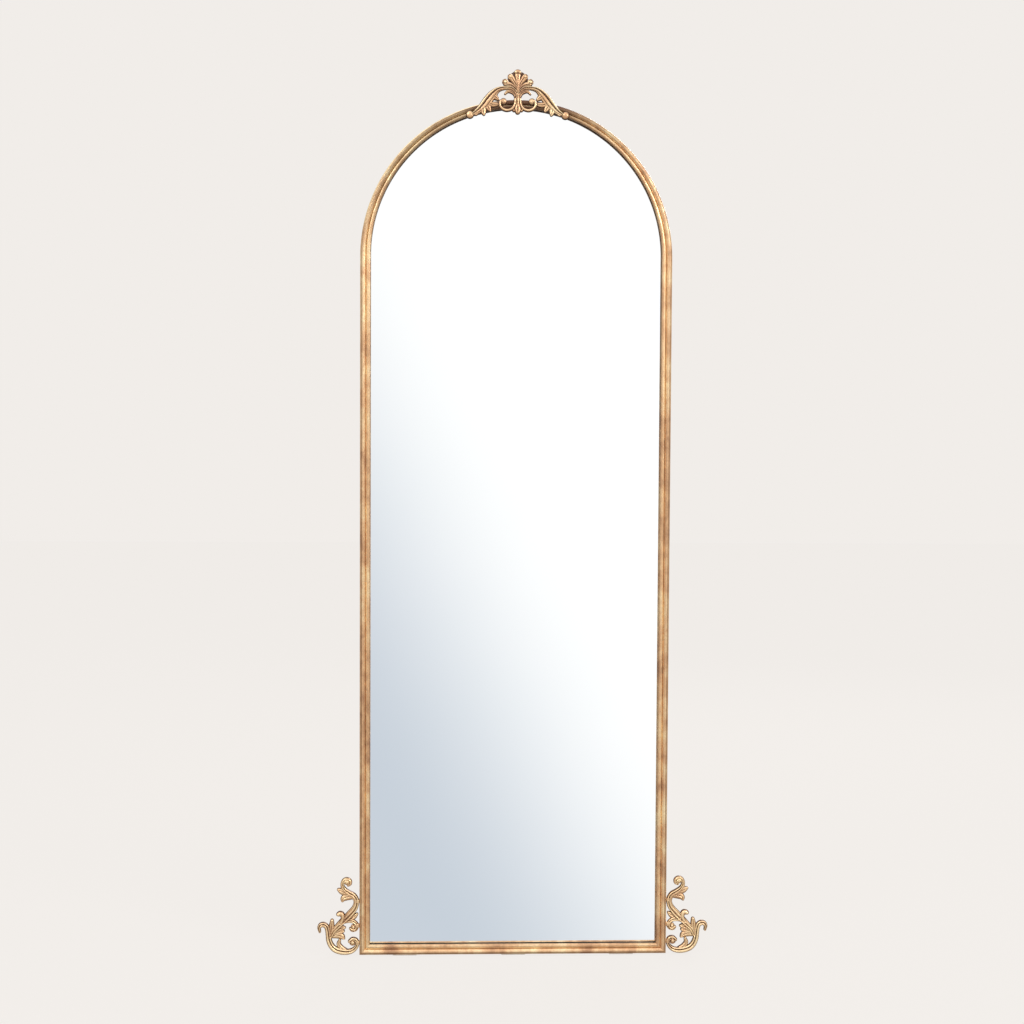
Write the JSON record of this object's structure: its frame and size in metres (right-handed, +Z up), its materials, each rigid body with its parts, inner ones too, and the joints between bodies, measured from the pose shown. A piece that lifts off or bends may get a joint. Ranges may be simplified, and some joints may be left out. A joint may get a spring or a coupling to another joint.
{
  "type": "arched floor mirror",
  "caption": "Tall arched leaning floor mirror in a slim antique-gold reeded frame with a pierced scroll crest and pierced scroll feet.",
  "frame": {"origin": "on the floor under the middle of the bottom rail, on the underside of the middle floor pad", "axes": "+Z up along the mirror's height, +X to the right seen from the front, -Y out of the face of the glass; the mirror stands upright"},
  "size_m": [0.758, 0.0395, 1.6995],
  "materials": {
    "gold": "satin",
    "cast_gold": "satin",
    "steel": "satin",
    "zinc": "gloss",
    "tape": "matte",
    "foam": "matte",
    "glass": "gloss",
    "board": "matte",
    "rubber": "matte"
  },
  "bodies": {
    "mirror": {"left_stile": "gold", "right_stile": "gold", "arch_hoop": "gold", "bottom_rail": "gold", "left_corner_key": "steel", "right_corner_key": "steel", "glazing_tape": "tape", "mirror_glass": "glass", "bonding_strips": "foam", "backboard": "board", "board_tabs": "steel", "crest": "cast_gold", "crest_bracket": "gold", "crest_screw": "steel", "left_scroll": "cast_gold", "right_scroll": "cast_gold", "scroll_pins": "steel", "floor_pads": "rubber", "wall_bumpers": "rubber", "hanger_straps": "zinc", "hanger_screws": "steel"},
    "left_ring": {"left_hanger_ring": "zinc"},
    "right_ring": {"right_hanger_ring": "zinc"}
  },
  "joints": [
    {"name": "left_ring_swing", "type": "hinge", "parent": "mirror", "child": "left_ring", "pos_m": [-0.215, 0.014, 1.292], "axis": [1, 0, 0], "range_deg": [0, 180]},
    {"name": "right_ring_swing", "type": "hinge", "parent": "mirror", "child": "right_ring", "pos_m": [0.215, 0.014, 1.292], "axis": [1, 0, 0], "range_deg": [0, 180]}
  ]
}
